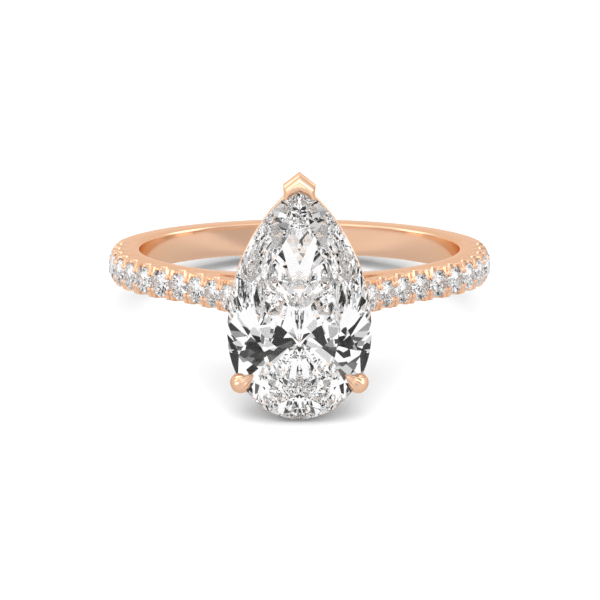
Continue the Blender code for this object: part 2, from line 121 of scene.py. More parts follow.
# Pear stone and head; heights are measured from the finger axis
PEAR_HALF_WIDTH = 3.77
PEAR_TIP_Y = 6.30
PEAR_WIDEST_Y = -1.50
PEAR_BELLY = 4.61
FLANK_RADIUS = ((PEAR_TIP_Y - PEAR_WIDEST_Y) ** 2 + PEAR_HALF_WIDTH ** 2) / (2.0 * PEAR_HALF_WIDTH)
FLANK_CENTRE = FLANK_RADIUS - PEAR_HALF_WIDTH
FLANK_STATIONS = 4.5
PEAR_CULET_Y = -1.77
PEAR_GIRDLE_HEIGHT = 13.10
PEAR_GIRDLE = 0.14
PEAR_CROWN = 1.08
PEAR_PAVILION = 3.20
LOWER_HALF_REACH = 0.80
MAIN_FIRST = 3.2
MAIN_COUNT = 12
FAN_SLOPE = 24.0
FAN_STEEPENING = 12.0
FAN_TURNS = (12.0, 36.0, 60.0)
KEEL_FULLNESS = 1.12
FLANK_FULLNESS = 1.09
FACET_TURN = 7.0
KEEL_START = 0.5
KEEL_END = PEAR_TIP_Y - 0.25
KEEL_FACETS = 10
KEEL_ROWS = (0.97, 0.84, 0.70, 0.56, 0.42, 0.28, 0.14, 0.04)
GALLERY_TOP = PEAR_GIRDLE_HEIGHT - 0.60
GALLERY_THICKNESS = 0.50
GALLERY_WIDTH = 0.58
BASE_TOP = 10.45
BASE_BOTTOM = 9.30
BASE_INSET = 1.95
BASE_WIDTH = 0.60
RAIL_CORNER = 0.12
RAIL_POINT_MITRE = 1.25
CLAW_X = 3.08
CLAW_Y = -4.20
CLAW_RIDGES = 9
V_TIP_Y = 6.93
V_CAP_BEVEL = 0.018

# Camera: its angle above the ring's own plane, its distance in metres, its lens and sensor in
# millimetres, and how far the middle of the view is from the ring's centre, in millimetres
CAMERA_ABOVE_RING = math.radians(9.15)
CAMERA_DISTANCE = 1.5
CAMERA_LENS = 1710.0
CAMERA_SENSOR = 36.0
VIEW_SHIFT_RIGHT = 0.03
VIEW_SHIFT_DOWN = 1.916

# Rose gold: its colour as seen directly; paler painted colours for gold mirrored once and again in gold
# (painted reflection brightness, a pale neutral after two bounces and through the gems); and a painted
# near black for the floor's rays, which darkens the floor's shadow
GOLD_DARKER = (0.815, 0.515, 0.350, 1.0)
GOLD_LIGHTER = (0.850, 0.545, 0.375, 1.0)
GOLD_PAINTED_REFLECTION_TINT = (0.92, 0.70, 0.52, 1.0)
GOLD_PAINTED_PALE_DEEP_REFLECTION = (0.97, 0.96, 0.95, 1.0)
GOLD_PAINTED_FLOOR_SHADOW = (0.12, 0.12, 0.12, 1.0)
GOLD_EDGE_TINT = (0.93, 0.72, 0.56, 1.0)
GOLD_CLOUD_SCALE = 260.0
GOLD_GRAIN_SCALE = 2600.0
GOLD_ROUGHNESS = (0.08, 0.14)
POLISHING_MARK_METRES = 2e-7

# Diamond
DIAMOND_COOL = (0.985, 0.985, 1.0, 1.0)
DIAMOND_IOR = 2.42
DIAMOND_CLOUD_SCALE = 500.0
DIAMOND_SHEEN = (0.14, 0.14, 0.14, 1.0)

# Soft panels around the metal: azimuth, elevation, full angle, soft angle and strength
METAL_PANELS = (
    (180.0, 58.0, 14.0, 24.0, 0.9),
    (129.0, 36.0, 12.0, 17.0, 2.4),
    (-132.0, 40.0, 10.0, 24.0, 1.3),
    (-52.0, 46.0, 8.0, 20.0, 1.5),
    (-95.0, 15.0, 9.0, 18.0, 1.7),
    (95.0, 15.0, 9.0, 18.0, 1.7),
    (64.0, 6.0, 20.0, 50.0, -0.34),
    (0.0, 3.0, 12.0, 26.0, 0.75),
)

# What only the gems see: cells of even tones (from, brightness), and dark cards laid out as above
GEM_CELL_SCALE = 17.0
GEM_CELL_TONES = ((0.0, 0.004), (0.24, 0.08), (0.35, 0.32), (0.48, 0.66), (0.74, 1.05))
GEM_DARK_CARDS = (
    (0.0, 20.0, 15.0, 16.0, -0.95),
    (-35.0, 40.0, 7.0, 8.0, -0.9),
    (48.0, 5.0, 8.0, 9.0, -0.9),
)

# The dome that lights the floor: an even part, and a broad glow from the front
FLOOR_SKY = 0.50
FLOOR_FRONT = (0.0, 42.0, 20.0, 95.0, 2.35)
BACKDROP = 1.1

# Floor: half its side in metres, its paper, and the painted glow that stands in for its shading where
# the metal mirrors it, dimmer inside the ring as painted shade (inside the ring and outside it, by
# distance in metres), and where the gems show it
FLOOR_REACH = 0.07
PAPER_DARKER = (0.80, 0.80, 0.80, 1.0)
PAPER_LIGHTER = (0.82, 0.82, 0.82, 1.0)
FLOOR_CLOUD_SCALE = 40.0
FLOOR_GLOW_IN_HOLE_PAINTED_SHADE = 0.72
FLOOR_OUTSIDE = 0.98
HOLE_DISTANCE = 0.007
OUTSIDE_DISTANCE = 0.014
FLOOR_IN_GEM = 1.0


def ring_matrix():
    """Place of the ring's own frame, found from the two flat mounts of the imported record."""
    mounts = {mount["name"]: mount for mount in frame["record"]["mounts"]}
    finger_axis = Vector(mounts["band_side"]["axis"]).normalized()
    rearward = -Vector(mounts["stone_table"]["axis"]).normalized()
    across = rearward.cross(finger_axis).normalized()
    table = Vector(mounts["stone_table"]["pos_m"])
    table_height = (PEAR_GIRDLE_HEIGHT + PEAR_CROWN) * MM
    centre = table + rearward * table_height
    band_side = Vector(mounts["band_side"]["pos_m"])
    centre += finger_axis * ((band_side - centre).dot(finger_axis) - HALF_WIDTH * MM)
    turn = Matrix((across, rearward, finger_axis)).transposed().to_4x4()
    return Matrix.Translation(centre) @ turn


RING = ring_matrix()
HEAD = RING @ Matrix.Rotation(math.pi / 2.0, 4, "X")
SCALE = Matrix.Scale(MM, 4)


# ---------------------------------------------------------------- helpers

def new_object(name, mesh, place):
    """Link a mesh drawn in millimetres in a local frame, with its place baked into the vertices."""
    mesh.transform(place @ SCALE)
    piece = bpy.data.objects.new(name, mesh)
    bpy.context.scene.collection.objects.link(piece)
    return piece


def finish_piece(piece, material, nodes):
    """Give a piece its material, body, slot and the CAD nodes that it stands for."""
    piece.data.materials.clear()
    piece.data.materials.append(material)
    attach(piece, BODY)
    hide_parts(*nodes)


def mesh_of(name, verts, faces):
    """Mesh data from vertex and face lists, with outward faces."""
    mesh = bpy.data.meshes.new(name)
    mesh.from_pydata([tuple(vert) for vert in verts], [], faces)
    bm = bmesh.new()
    bm.from_mesh(mesh)
    bmesh.ops.recalc_face_normals(bm, faces=bm.faces)
    bm.to_mesh(mesh)
    bm.free()
    return mesh


def smooth(mesh, angle=35.0):
    """Shade smooth and keep edges above an angle sharp."""
    mesh.shade_smooth()
    mesh.set_sharp_from_angle(angle=math.radians(angle))


def loft(name, sections, closed):
    """Skin over rings of equally many points; an open loft is capped with a face at each end."""
    rings = np.array(sections, float)
    count, sides = rings.shape[:2]
    verts = rings.reshape(-1, 3)
    faces = []
    for index in range(count if closed else count - 1):
        low = index * sides
        high = ((index + 1) % count) * sides
        for side in range(sides):
            after = (side + 1) % sides
            faces.append((low + side, low + after, high + after, high + side))
    if not closed:
        faces.append(tuple(range(sides)))
        faces.append(tuple(range((count - 1) * sides, count * sides)))
    return mesh_of(name, verts, faces)


def blend(value, start, end):
    """Smooth step from 0 at start to 1 at end."""
    share = np.clip((value - start) / (end - start), 0.0, 1.0)
    return share * share * (3.0 - 2.0 * share)


def soft_min(first, second, radius):
    """Lower of two heights, with the corner between them rounded."""
    return -radius * np.logaddexp(-first / radius, -second / radius)


def soft_max(first, second, radius):
    """Higher of two heights, with the corner between them rounded."""
    return radius * np.logaddexp(first / radius, second / radius)


# ---------------------------------------------------------------- gem cutting

def round_station(radius):
    """Outline of a round stone: point and outward normal at station 0 to 16."""
    def station(t):
        angle = 2.0 * math.pi * t / 16.0
        normal = Vector((math.cos(angle), math.sin(angle), 0.0))
        return normal * radius, normal
    return station


def pear_station(inset=0.0):
    """Outline of the pear moved inwards: two arcs from the point, and a belly of half an ellipse."""
    flank_sweep = math.acos(FLANK_CENTRE / (FLANK_RADIUS - inset))

    def station(t):
        t = t % 16.0
        side = -1.0 if t <= 8.0 else 1.0
        from_tip = t if t <= 8.0 else 16.0 - t
        if from_tip <= FLANK_STATIONS:
            angle = flank_sweep * (1.0 - from_tip / FLANK_STATIONS)
            normal = Vector((side * math.cos(angle), math.sin(angle), 0.0))
            centre = Vector((-side * FLANK_CENTRE, PEAR_WIDEST_Y, 0.0))
            point = centre + normal * (FLANK_RADIUS - inset)
        else:
            angle = 0.5 * math.pi * (from_tip - FLANK_STATIONS) / (8.0 - FLANK_STATIONS)
            across = side * math.cos(angle)
            along = -math.sin(angle)
            normal = Vector((across / PEAR_HALF_WIDTH, along / PEAR_BELLY, 0.0)).normalized()
            edge = Vector((PEAR_HALF_WIDTH * across, PEAR_WIDEST_Y + PEAR_BELLY * along, 0.0))
            point = edge - normal * inset
        if from_tip < 1e-9:
            normal = Vector((0.0, 1.0, 0.0))
        return point, normal
    return station


def leaning_plane(point, normal, target):
    """Facet plane along the outline at point that also passes through target."""
    tangent = Vector((-normal.y, normal.x, 0.0))
    facet = tangent.cross(target - point).normalized()
    if facet.dot(normal) < 0.0:
        facet.negate()
    return point, facet


def sloped_plane(point, normal, angle):
    """Facet plane through point that slopes up from the outline at an angle."""
    return point, normal * math.sin(angle) + Vector((0.0, 0.0, math.cos(angle)))


def meet(first, second, third):
    """Point where three planes meet."""
    rows = Matrix((first[1], second[1], third[1]))
    return rows.inverted() @ Vector([plane[1].dot(plane[0]) for plane in (first, second, third)])


def crown_planes(station, crown, girdle):
    """Eight bezels, eight stars and sixteen upper halves of a brilliant crown."""
    lift = Vector((0.0, 0.0, girdle / 2.0))
    reach = (crown - girdle / 2.0) / math.tan(BEZEL_ANGLE)
    bezels = []
    corners = []
    for index in range(8):
        point, normal = station(2 * index)
        bezels.append(sloped_plane(point + lift, normal, BEZEL_ANGLE))
        corners.append(point - normal * reach + Vector((0.0, 0.0, crown)))
    planes = list(bezels)
    for index in range(8):
        following = (index + 1) % 8
        chord = corners[following] - corners[index]
        outward = Vector((chord.y, -chord.x, 0.0)).normalized()
        if outward.dot(station(2 * index + 1)[1]) < 0.0:
            outward.negate()
        star = sloped_plane(corners[index], outward, STAR_ANGLE)
        planes.append(star)
        star_tip = meet(bezels[index], bezels[following], star)
        for half in (0.5, 1.5):
            point, normal = station(2 * index + half)
            planes.append(leaning_plane(point + lift, normal, star_tip))
    return planes


def pavilion_planes(station, culet, girdle, reach, first, spread, mains, gaps):
    """Pavilion mains from the culet to the girdle, with two lower halves in each gap between them."""
    drop = Vector((0.0, 0.0, -girdle / 2.0))
    main_planes = []
    for index in range(mains):
        point, normal = station(first + spread * index)
        main_planes.append(leaning_plane(point + drop, normal, culet))
    planes = list(main_planes)
    girdle_plane = (drop, Vector((0.0, 0.0, 1.0)))
    for index in range(gaps):
        edge = meet(main_planes[index], main_planes[(index + 1) % mains], girdle_plane)
        half_tip = edge.lerp(culet, reach)
        for half in (0.25, 0.75):
            point, normal = station(first + spread * (index + half))
            planes.append(leaning_plane(point + drop, normal, half_tip))
    return planes


def close_stone(bm):
    """Rebuild the faces of a convex stone from its corners."""
    corners = [vertex.co.copy() for vertex in bm.verts]
    bm.clear()
    for corner in corners:
        bm.verts.new(corner)
    hull = bmesh.ops.convex_hull(bm, input=bm.verts[:])
    spare = {item for item in hull["geom_interior"] + hull["geom_unused"]
             if isinstance(item, bmesh.types.BMVert)}
    bmesh.ops.delete(bm, geom=list(spare), context="VERTS")
    bmesh.ops.dissolve_limit(
        bm, angle_limit=math.radians(0.05), verts=bm.verts[:], edges=bm.edges[:])


def cut_stone(name, station, girdle_points, bottom, top, planes):
    """Cut a stone from a straight-sided blank, one plane for each facet."""
    outline = [station(16.0 * index / girdle_points)[0] for index in range(girdle_points)]
    bm = bmesh.new()
    low = [bm.verts.new((point.x, point.y, bottom)) for point in outline]
    high = [bm.verts.new((point.x, point.y, top)) for point in outline]
    bm.faces.new(low)
    bm.faces.new(high)
    for index in range(girdle_points):
        after = (index + 1) % girdle_points
        bm.faces.new((low[index], low[after], high[after], high[index]))
    for point, normal in planes:
        geometry = bm.verts[:] + bm.edges[:] + bm.faces[:]
        result = bmesh.ops.bisect_plane(
            bm, geom=geometry, dist=1e-5, plane_co=point, plane_no=normal, clear_outer=True)
        rim = [item for item in result["geom_cut"] if isinstance(item, bmesh.types.BMEdge)]
        open_rim = [edge for edge in rim if len(edge.link_faces) == 1]
        if len(open_rim) > 2:
            bmesh.ops.edgeloop_fill(bm, edges=open_rim)
        if any(len(edge.link_faces) != 2 for edge in bm.edges):
            close_stone(bm)
    bmesh.ops.remove_doubles(bm, verts=bm.verts, dist=2e-4)
    bmesh.ops.recalc_face_normals(bm, faces=bm.faces)
    mesh = bpy.data.meshes.new(name)
    bm.to_mesh(mesh)
    bm.free()
    return mesh


# ---------------------------------------------------------------- band

def path_at(length):
    """Position (x, height) and normal angle along the small stones' girdle path."""
    length = np.asarray(length, float)
    on_circle = SHOULDER_ANGLE - np.minimum(length, 0.0) / GIRDLE_RADIUS
    slope = SHOULDER_ANGLE + np.maximum(length, 0.0) / SHOULDER_BEND
    x_bend = np.sin(slope) - math.sin(SHOULDER_ANGLE)
    height_bend = math.cos(SHOULDER_ANGLE) - np.cos(slope)
    x = GIRDLE_RADIUS * np.sin(on_circle) - SHOULDER_BEND * x_bend
    height = GIRDLE_RADIUS * np.cos(on_circle) + SHOULDER_BEND * height_bend
    return x, height, np.where(length > 0.0, slope, on_circle)


def path_matrix(length, side):
    """Frame on the girdle path with Z outwards, in millimetres, mirrored for side -1."""
    x, height, angle = (float(value) for value in path_at(length))
    place = Matrix.Translation((side * x * MM, -height * MM, 0.0))
    return place @ Matrix.Rotation(side * angle, 4, "Z") @ Matrix.Rotation(math.pi / 2.0, 4, "X")


def band_outer_radius(angle):
    """Outside of the circular band under the stone strips, by angle from the head."""
    lengths = np.linspace(-1.0, STRIP_END, 200)
    x, height, normal = path_at(lengths)
    x = x - STRIP_DEPTH * np.sin(normal)
    height = height - STRIP_DEPTH * np.cos(normal)
    strip_angle = np.arctan2(x, height)[::-1]
    strip_radius = np.hypot(x, height)[::-1]
    return np.minimum(np.interp(abs(angle), strip_angle, strip_radius), BRIDGE_RADIUS)


def corner_arc(outer, edge):
    """Quarter circle of a band section, from its outside to its side face."""
    angles = np.radians(np.linspace(0.0, 90.0, 6))
    return [(outer - edge + edge * math.cos(a), HALF_WIDTH - edge + edge * math.sin(a)) for a in angles]


def band_section(angle, outer, edge):
    """Closed section of the band, with a comfort-fit inner wall."""
    half = [(outer, 0.0)] + corner_arc(outer, edge)
    half += [(SIDE_RADIUS - inset, z) for inset, z in INNER_WALL]
    profile = half + [(r, -z) for r, z in half[-2:0:-1]]
    return [(r * math.sin(angle), -r * math.cos(angle), z) for r, z in profile]


def make_band(material):
    """The plain band with its bridge; the stone strips sit flush on it."""
    start_angle = float(path_at(STRIP_START)[2])
    angles = list(np.linspace(-math.pi, math.pi, BAND_STATIONS, endpoint=False))
    angles += [-start_angle, start_angle]
    rings = []
    for angle in sorted(angles):
        plain = band_section(angle, PLAIN_RADIUS, PLAIN_EDGE)
        under = band_section(angle, float(band_outer_radius(angle)), BRIDGE_EDGE)
        if abs(abs(angle) - start_angle) < 1e-9:
            rings += [plain, under] if angle < 0 else [under, plain]
        else:
            rings.append(plain if abs(angle) > start_angle else under)
    mesh = loft("band", rings, closed=True)
    smooth(mesh, 30.0)
    band = new_object("polished_band", mesh, RING)
    finish_piece(band, material, ["shank"])


def cut_seat(surface, length, z, stone):
    """Lower a shoulder's surface by one stone's cone seat and by its side scallops."""
    along = np.abs(length - stone)
    radius = np.hypot(along, z)
    cone = SEAT_TOP - SEAT_DEPTH * (1.0 - radius / SEAT_RADIUS)
    wall = SEAT_TOP + (radius - SEAT_RADIUS) * CUT_STEEPNESS
    seat = np.where(radius < SEAT_RADIUS, cone, wall)
    bowl = SCALLOP_TOP - np.sqrt(np.maximum(SCALLOP_RADIUS ** 2 - along ** 2, 0.0))
    bank = SCALLOP_TOP + (along - SCALLOP_RADIUS) * CUT_STEEPNESS
    scallop = np.where(along < SCALLOP_RADIUS, bowl, bank)
    surface = soft_min(surface, np.minimum(seat, HEIGHT_LIMIT), CUT_ROUNDING)
    return soft_min(surface, np.minimum(scallop, HEIGHT_LIMIT), CUT_ROUNDING)


def raise_beads(surface, length, z, centre):
    """Add the two beads, one near each edge, that end a bar at a length."""
    for edge in (-1.0, 1.0):
        reach = np.hypot(length - centre, (z - edge * BEAD_ACROSS) * 0.8)
        dome = BEAD_BASE + np.sqrt(np.maximum(BEAD_RADIUS ** 2 - reach ** 2, 0.0))
        foot = BEAD_BASE - (reach - BEAD_RADIUS) * BEAD_STEEPNESS
        bead = np.where(reach < BEAD_RADIUS, dome, foot)
        surface = soft_max(surface, np.maximum(bead, -HEIGHT_LIMIT), CUT_ROUNDING)
    return surface


def strip_height(length, z):
    """Metal surface of a shoulder, above the girdle path, for columns length and rows z."""
    length, z = np.broadcast_arrays(length, z)
    plain = PLAIN_RADIUS - GIRDLE_RADIUS
    to_pave = blend(length, STRIP_START + 0.05, STRIP_START + 0.55)
    surface = plain + (METAL_TOP - plain) * to_pave
    stones = [MELEE_FIRST + MELEE_PITCH * index for index in range(MELEE_PER_SIDE)]
    for stone in stones:
        surface = cut_seat(surface, length, z, stone)
    gaps = [stones[0] - MELEE_PITCH / 2.0] + [stone + MELEE_PITCH / 2.0 for stone in stones]
    for gap in gaps:
        groove = METAL_TOP - GROOVE_DEPTH + np.abs(length - gap) * GROOVE_DEPTH / GROOVE_HALF
        surface = soft_min(surface, np.minimum(groove, HEIGHT_LIMIT), CUT_ROUNDING)
        if gap != gaps[0]:
            surface = raise_beads(surface, length, z, gap - BEAD_ALONG)
        if gap != gaps[-1]:
            surface = raise_beads(surface, length, z, gap + BEAD_ALONG)
    slope = np.maximum(np.abs(z) - BAR_CROWN, 0.0) / (HALF_WIDTH - BAR_CROWN)
    over = np.maximum(np.abs(z) - (HALF_WIDTH - STRIP_EDGE), 0.0)
    round_off = STRIP_EDGE - np.sqrt(np.maximum(STRIP_EDGE ** 2 - over ** 2, 0.0))
    return surface - BAR_DROP * slope ** 2 - round_off


def make_strip(side, name, material):
    """One shoulder: scalloped seats, split prongs and beads as one fine surface, closed below."""
    lengths = np.linspace(STRIP_START, STRIP_END, STRIP_COLUMNS)
    edge = np.array(STRIP_EDGE_ROWS)
    inner = np.linspace(-HALF_WIDTH + STRIP_INNER_ROW, HALF_WIDTH - STRIP_INNER_ROW, STRIP_ROWS)
    rows = np.concatenate([-HALF_WIDTH + edge, inner, (HALF_WIDTH - edge)[::-1]])
    heights = strip_height(lengths[:, None], rows[None, :])
    x, base, angle = path_at(lengths)
    across = np.sin(angle)
    outward = np.cos(angle)
    top = np.stack([
        side * (x[:, None] + heights * across[:, None]),
        -(base[:, None] + heights * outward[:, None]),
        np.broadcast_to(rows[None, :], heights.shape),
    ], axis=-1)
    low_x = side * (x - STRIP_DEPTH * across)
    low_y = -(base - STRIP_DEPTH * outward)
    low = [np.stack([low_x, low_y, np.full_like(low_x, z)], axis=-1) for z in (HALF_WIDTH, -HALF_WIDTH)]
    rings = np.concatenate([top, low[0][:, None, :], low[1][:, None, :]], axis=1)
    mesh = loft(name, rings, closed=False)
    smooth(mesh, 50.0)
    strip = new_object(name, mesh, RING)
    finish_piece(strip, material, ["shank"])


# ---------------------------------------------------------------- stones

def make_melee(material):
    """The small round diamonds, one piece each, sharing a mesh."""
    station = round_station(MELEE_RADIUS)
    culet = Vector((0.0, 0.0, -MELEE_PAVILION))
    planes = crown_planes(station, MELEE_CROWN, MELEE_GIRDLE)
    planes += pavilion_planes(station, culet, MELEE_GIRDLE, MELEE_HALF_REACH, 0.0, 2.0, 8, 8)
    mesh = cut_stone("round_diamond", station, 32, -MELEE_PAVILION, MELEE_CROWN, planes)
    mesh.transform(SCALE)
    mesh.materials.append(material)
    for side, name in ((-1, "left"), (1, "right")):
        for number in range(MELEE_PER_SIDE):
            stone = bpy.data.objects.new(f"round_diamond_{name}_{number + 1:02d}", mesh)
            bpy.context.scene.collection.objects.link(stone)
            turn = Matrix.Rotation(MELEE_TURN * number, 4, "Z")
            stone.matrix_world = RING @ path_matrix(MELEE_FIRST + MELEE_PITCH * number, side) @ turn
            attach(stone, BODY)
            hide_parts(f"melee_diamond_{name}_{number + 1:02d}")


def flank_width(y):
    """Half width of the pear's outline on its pointed side."""
    return math.sqrt(FLANK_RADIUS ** 2 - (y - PEAR_WIDEST_Y) ** 2) - FLANK_CENTRE


def keel_surface(across, y):
    """Depth of the pointed half's pavilion, rounded across and along, below a share of the width."""
    length = PEAR_TIP_Y - PEAR_CULET_Y
    keel = PEAR_PAVILION * (1.0 - ((y - PEAR_CULET_Y) / length) ** KEEL_FULLNESS)
    return Vector((across * flank_width(y), y, -keel * (1.0 - abs(across) ** FLANK_FULLNESS)))


def keel_planes(station):
    """Rows of small facets on the pointed half of the pavilion, none of them cutting the girdle."""
    planes = []
    step = 0.01
    drop = Vector((0.0, 0.0, -PEAR_GIRDLE / 2.0))
    outline = [station(place / 8.0)[0] for place in range(128)]
    for row, across in enumerate(KEEL_ROWS):
        for index in range(KEEL_FACETS):
            y = KEEL_START + (KEEL_END - KEEL_START) * (index + 0.5 * (row % 2)) / KEEL_FACETS
            point = keel_surface(across, y)
            along = keel_surface(across, y + step) - keel_surface(across, y - step)
            over = keel_surface(across + step, y) - keel_surface(across - step, y)
            normal = along.cross(over).normalized()
            if normal.z > 0.0:
                normal.negate()
            turn = FACET_TURN if (row + index) % 2 else -FACET_TURN
            normal = Matrix.Rotation(math.radians(turn), 3, "Z") @ normal
            point += normal * max(0.0, max((corner - point).dot(normal) for corner in outline))
            for side in (1.0, -1.0):
                planes.append((Vector((side * point.x, point.y, point.z)) + drop,
                               Vector((side * normal.x, normal.y, normal.z))))
    return planes


def fan_planes(culet):
    """Pairs of facets that fan out of the culet towards the point."""
    planes = []
    for turn in FAN_TURNS:
        slope = math.radians(FAN_SLOPE + FAN_STEEPENING * (turn / 90.0) ** 2)
        across = math.sin(math.radians(turn)) * math.sin(slope)
        along = math.cos(math.radians(turn)) * math.sin(slope)
        for side in (1.0, -1.0):
            planes.append((culet, Vector((side * across, along, -math.cos(slope)))))
    return planes


def make_pear(material):
    """The centre stone: a brilliant belly, and rows of small facets towards the point."""
    station = pear_station()
    culet = Vector((0.0, PEAR_CULET_Y, -PEAR_PAVILION))
    planes = crown_planes(station, PEAR_CROWN, PEAR_GIRDLE)
    gaps = MAIN_COUNT - 1
    spread = (16.0 - 2.0 * MAIN_FIRST) / gaps
    planes += pavilion_planes(
        station, culet, PEAR_GIRDLE, LOWER_HALF_REACH, MAIN_FIRST, spread, MAIN_COUNT, gaps)
    planes += fan_planes(culet) + keel_planes(station)
    mesh = cut_stone("pear", station, 128, -PEAR_PAVILION - 0.3, PEAR_CROWN, planes)
    height = Matrix.Translation((0.0, 0.0, PEAR_GIRDLE_HEIGHT * MM))
    pear = new_object("pear_cut_diamond", mesh, HEAD @ height)
    finish_piece(pear, material, ["pear_diamond"])


# ---------------------------------------------------------------- head

def rail_sections(inset, width, bottom, top, count):
    """Rounded-rectangle sections around a pear-shaped rail."""
    middle = (bottom + top) / 2.0
    half_w = width / 2.0 - RAIL_CORNER
    half_h = (top - bottom) / 2.0 - RAIL_CORNER
    offsets = []
    for start, (sx, sz) in ((0.0, (1, 1)), (90.0, (-1, 1)), (180.0, (-1, -1)), (270.0, (1, -1))):
        for a in np.radians(np.linspace(start, start + 90.0, 5)):
            across = sx * half_w + RAIL_CORNER * math.cos(a)
            up = sz * half_h + RAIL_CORNER * math.sin(a)
            offsets.append((across, up))
    centre_line = pear_station(inset + width / 2.0)
    sections = []
    for index in range(count):
        point, normal = centre_line(16.0 * index / count)
        if index == 0:
            normal = normal * RAIL_POINT_MITRE
        sections.append([(point.x + normal.x * across, point.y + normal.y * across, middle + up)
                         for across, up in offsets])
    return sections


def make_rails(material):
    """The gallery rail under the girdle and the base rail on the bridge."""
    gallery = rail_sections(0.0, GALLERY_WIDTH, GALLERY_TOP - GALLERY_THICKNESS, GALLERY_TOP, 160)
    base = rail_sections(BASE_INSET, BASE_WIDTH, BASE_BOTTOM + 0.1, BASE_TOP, 120)
    for name, sections in (("gallery_rail", gallery), ("base_rail", base)):
        mesh = loft(name, sections, closed=True)
        smooth(mesh, 40.0)
        rail = new_object("polished_" + name, mesh, HEAD)
        finish_piece(rail, material, [name])


def catmull(points, steps):
    """Smooth curve through rows of numbers."""
    points = np.array(points, float)
    padded = np.vstack([2 * points[0] - points[1], points, 2 * points[-1] - points[-2]])
    out = []
    for index in range(len(points) - 1):
        p0, p1, p2, p3 = padded[index:index + 4]
        for t in np.linspace(0.0, 1.0, steps, endpoint=False):
            out.append(0.5 * ((2 * p1) + (-p0 + p2) * t + (2 * p0 - 5 * p1 + 4 * p2 - p3) * t ** 2
                              + (-p0 + 3 * p1 - 3 * p2 + p3) * t ** 3))
    out.append(points[-1])
    return np.array(out)


def swept(name, route, sides):
    """Wire through (x, y, z, radius, flute) points; flutes are ridges, as a share of the radius."""
    path = catmull(route, 8)
    rings = []
    side_hint = Vector((0.3, 1.0, 0.0)).normalized()
    for index in range(len(path)):
        here = Vector(path[index][:3])
        ahead = Vector(path[min(index + 1, len(path) - 1)][:3])
        behind = Vector(path[max(index - 1, 0)][:3])
        tangent = (ahead - behind).normalized()
        first = (side_hint - tangent * side_hint.dot(tangent)).normalized()
        second = tangent.cross(first)
        side_hint = first
        radius = max(path[index][3], 0.01)
        flute = path[index][4]
        rings.append([here + (first * math.cos(a) + second * math.sin(a))
                      * radius * (1.0 + flute * math.cos(CLAW_RIDGES * a))
                      for a in np.linspace(0.0, 2.0 * math.pi, sides, endpoint=False)])
    return loft(name, rings, closed=False)


def make_claws(material):
    """Both claws: round posts outside the girdle with a pointed tip over the crown."""
    foot = Vector((0.56 * CLAW_X, 0.72 * CLAW_Y))
    top = Vector((CLAW_X, CLAW_Y))
    inward = -Vector((CLAW_X, CLAW_Y - PEAR_CULET_Y)).normalized()
    girdle = PEAR_GIRDLE_HEIGHT
    stations = [
        (foot, BASE_BOTTOM + 0.45, 0.34, 0.0),
        (foot.lerp(top, 0.30), girdle - 2.70, 0.38, 0.0),
        (foot.lerp(top, 0.62), girdle - 1.75, 0.41, 0.0),
        (top - inward * 0.06, girdle - 0.80, 0.44, 0.0),
        (top - inward * 0.03, girdle - 0.20, 0.51, 0.0),
        (top + inward * 0.02, girdle + 0.22, 0.53, 0.0),
        (top + inward * 0.10, girdle + 0.50, 0.47, 0.02),
        (top + inward * 0.30, girdle + 0.68, 0.35, 0.06),
        (top + inward * 0.60, girdle + 0.73, 0.19, 0.09),
        (top + inward * 0.86, girdle + 0.70, 0.04, 0.10),
    ]
    for side, name in ((-1, "left"), (1, "right")):
        route = [(side * spot.x, spot.y, height, radius, flute)
                 for spot, height, radius, flute in stations]
        mesh = swept("claw_" + name, route, 72)
        smooth(mesh, 60.0)
        claw = new_object("polished_claw_" + name, mesh, HEAD)
        finish_piece(claw, material, ["claw_prong_" + name])


def v_line(share):
    """Left end, left corner, middle, right corner and right end, from outer (0) to inner (1) edge."""
    outer = ((-0.82, -1.42), (-0.863, -0.68), (0.0, 0.0), (0.863, -0.68), (0.82, -1.42))
    inner = ((-0.66, -1.42), (-0.44, -1.24), (0.0, -1.04), (0.44, -1.24), (0.66, -1.42))
    return [(a[0] + (b[0] - a[0]) * share, V_TIP_Y + a[1] + (b[1] - a[1]) * share)
            for a, b in zip(outer, inner)]


def make_v_cap(material):
    """Stepped cap of the V prong: a low outer ledge, a wall, a flat top and an inner bevel."""
    profile = [
        (0.0, -0.20), (0.0, 0.26), (0.03, 0.33), (0.10, 0.39), (0.24, 0.44), (0.30, 0.445),
        (0.325, 0.46), (0.42, 0.615), (0.45, 0.635), (0.52, 0.645), (0.74, 0.61),
        (0.80, 0.58), (0.92, 0.46), (1.0, 0.34), (1.0, -0.20),
    ]
    lines = [(v_line(share), PEAR_GIRDLE_HEIGHT + height) for share, height in profile]
    sections = []
    for leg in range(4):
        for step in range(6):
            t = step / 6.0
            sections.append([
                (line[leg][0] + (line[leg + 1][0] - line[leg][0]) * t,
                 line[leg][1] + (line[leg + 1][1] - line[leg][1]) * t, height)
                for line, height in lines])
    sections.append([(line[4][0], line[4][1], height) for line, height in lines])
    mesh = loft("v_cap", sections, closed=False)
    cap = new_object("polished_v_cap", mesh, HEAD)
    bevel = cap.modifiers.new("soft_edges", "BEVEL")
    bevel.width = V_CAP_BEVEL * MM
    bevel.segments = 2
    bevel.limit_method = "ANGLE"
    bevel.angle_limit = math.radians(22.0)
    smooth(cap.data, 30.0)
    finish_piece(cap, material, ["v_prong"])


